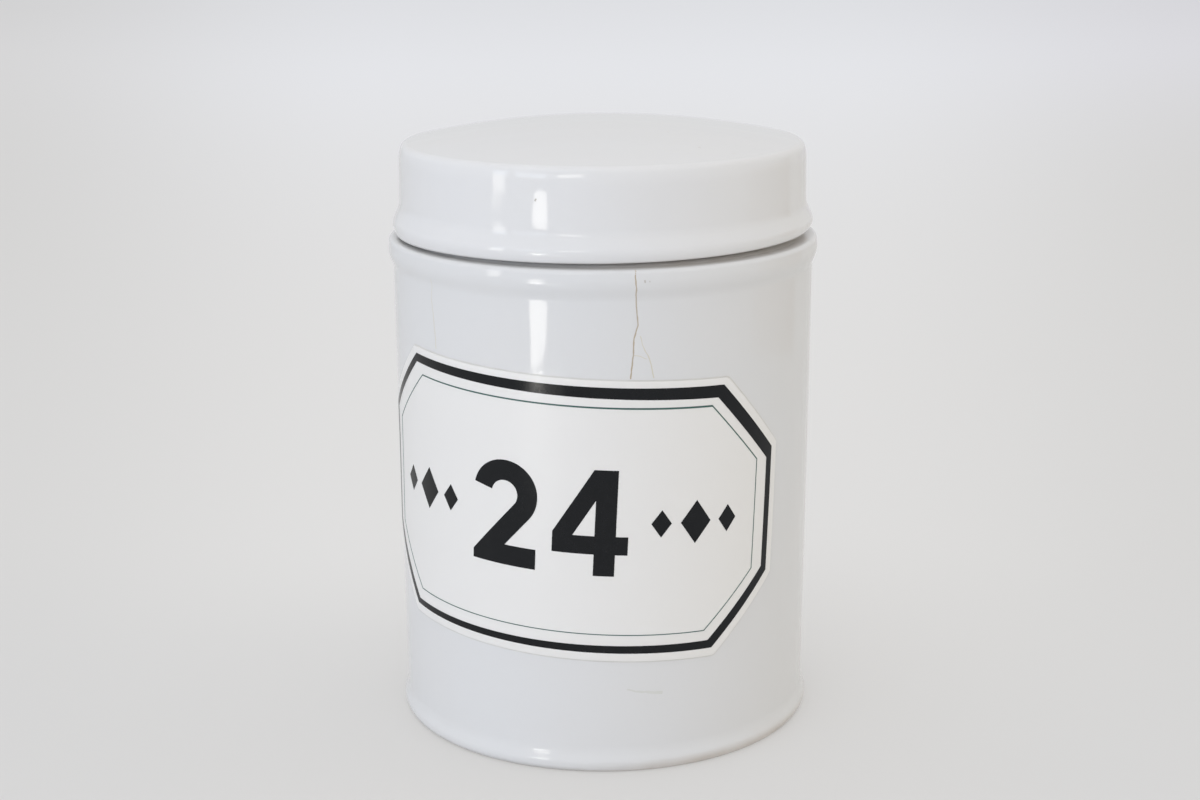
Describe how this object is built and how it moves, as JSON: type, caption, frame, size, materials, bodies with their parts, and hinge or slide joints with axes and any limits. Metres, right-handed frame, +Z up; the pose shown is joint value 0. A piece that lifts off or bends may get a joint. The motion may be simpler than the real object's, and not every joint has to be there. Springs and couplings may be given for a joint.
{
  "type": "ointment pot",
  "caption": "Cylindrical white glazed ceramic pot with a beaded shoulder, a domed lift-off cap lid and an octagonal label with a shaded black border.",
  "frame": {"origin": "centre of the foot, on the surface that the pot stands on", "axes": "+Z up along the axis that the pot and the lid are turned about; -Y is the side that the label faces; +X is to the right of someone who looks at the label"},
  "size_m": [0.0996, 0.0996, 0.14],
  "materials": {
    "pot_glaze": "cool white glaze, glossy",
    "lid_glaze": "cool white glaze, glossy",
    "label_ground": "warm white, satin varnish",
    "label_ink": "black print, satin varnish"
  },
  "bodies": {
    "pot": {"pot": "pot_glaze", "label": "label_ground", "label_border": "label_ink", "label_fine_line": "label_ink"},
    "lid": {"lid": "lid_glaze"}
  },
  "joints": [
    {"name": "lid_lift", "type": "slide", "parent": "pot", "child": "lid", "axis": [0, 0, 1], "range_m": [0, 0.08]}
  ]
}
